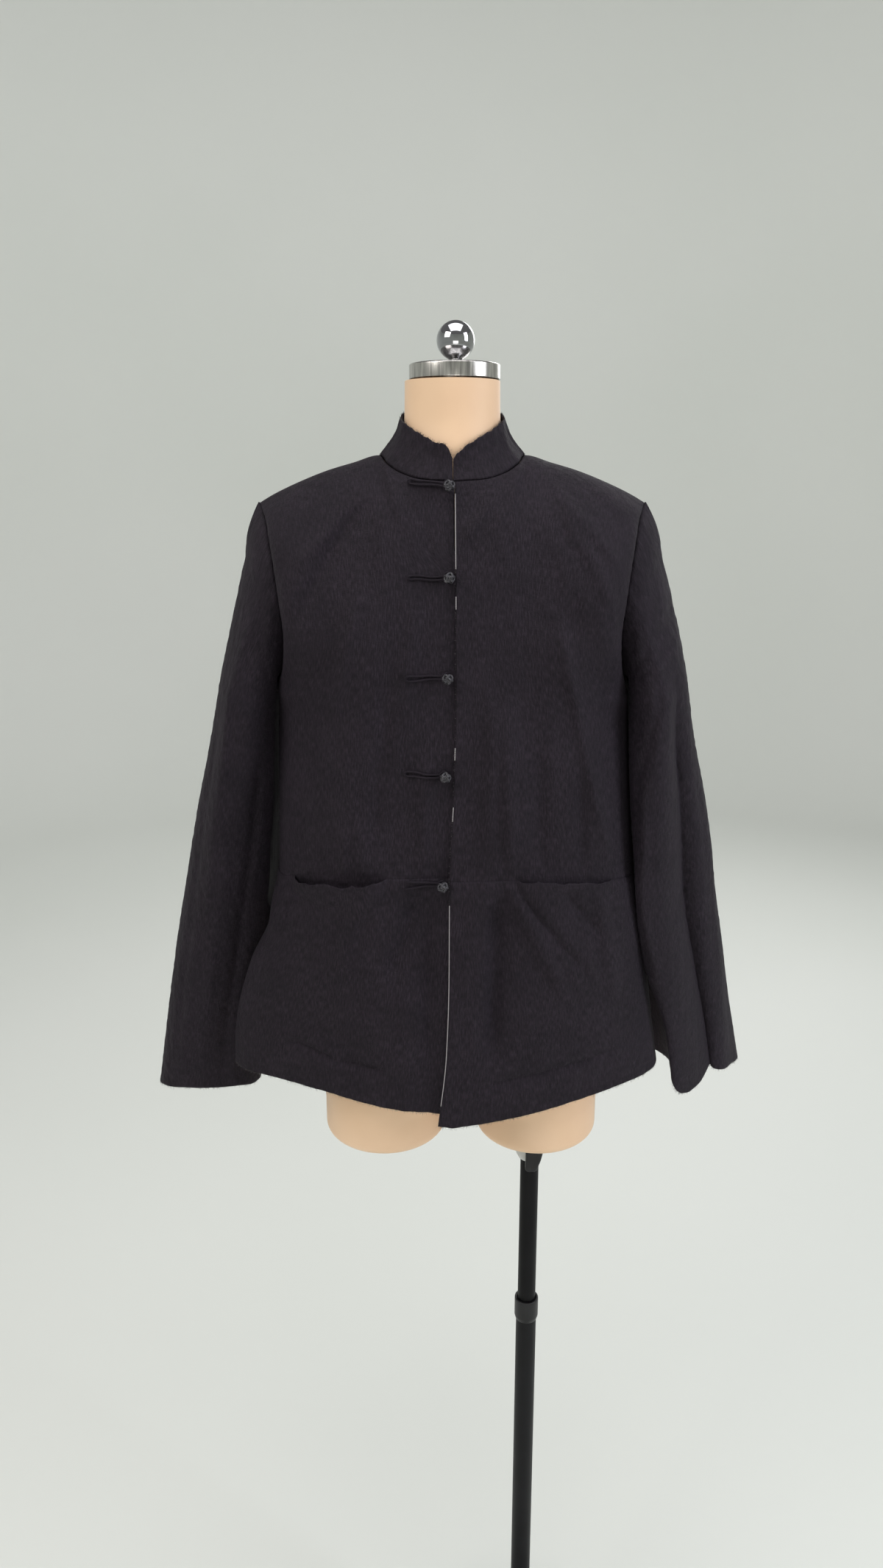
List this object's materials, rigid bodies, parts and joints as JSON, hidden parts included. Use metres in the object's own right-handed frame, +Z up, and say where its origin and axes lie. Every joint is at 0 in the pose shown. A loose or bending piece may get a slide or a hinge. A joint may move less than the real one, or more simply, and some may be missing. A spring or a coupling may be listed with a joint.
{
  "type": "tang jacket on a dress form",
  "caption": "Black tang jacket with stand collar, knot buttons, waist pockets and side slits, on a limbless dress form with a turned neck cap, ball finial and height-adjustable stand.",
  "frame": {"origin": "centre of the base's flat underside, on the mast's axis, where the part stands on the floor", "axes": "+Z up along the mast, -Y towards the jacket's front, +X towards the jacket's left sleeve"},
  "size_m": [0.7071, 0.34, 1.7835],
  "materials": {
    "black_cotton": "matte woven, a little crinkled",
    "knot_cord": "knotted cord",
    "cream_cover": "smooth cream cover",
    "chrome": "polished",
    "black_steel": "black satin",
    "black_plastic": "matte",
    "grey_plastic": "light grey"
  },
  "bodies": {
    "stand": {"base": "black_steel", "lower_tube": "black_steel", "ferrule": "black_plastic"},
    "mast": {"mast": "black_steel"},
    "form": {"front_left": "black_cotton", "front_right": "black_cotton", "pocket_left": "black_cotton", "pocket_right": "black_cotton", "back": "black_cotton", "sleeve_left": "black_cotton", "sleeve_right": "black_cotton", "collar": "black_cotton", "knot_1": "knot_cord", "knot_2": "knot_cord", "knot_3": "knot_cord", "knot_4": "knot_cord", "knot_5": "knot_cord", "tail_1": "black_cotton", "tail_2": "black_cotton", "tail_3": "black_cotton", "tail_4": "black_cotton", "tail_5": "black_cotton", "loop_1": "black_cotton", "loop_2": "black_cotton", "loop_3": "black_cotton", "loop_4": "black_cotton", "loop_5": "black_cotton", "torso": "cream_cover", "neck_cap": "chrome", "neck_ball": "chrome", "bush": "grey_plastic"},
    "lever": {"clamp_lever": "black_plastic"}
  },
  "joints": [
    {"name": "mast_height", "type": "slide", "parent": "stand", "child": "mast", "axis": [0, 0, 1], "range_m": [-0.18, 0.25]},
    {"name": "form_turn", "type": "hinge", "parent": "mast", "child": "form", "pos_m": [0, 0, 0.89], "axis": [0, 0, 1], "continuous": true},
    {"name": "clamp_turn", "type": "hinge", "parent": "form", "child": "lever", "pos_m": [0.003, -0.0213, 0.8637], "axis": [0, -1, 0], "range_deg": [0, 135]}
  ]
}
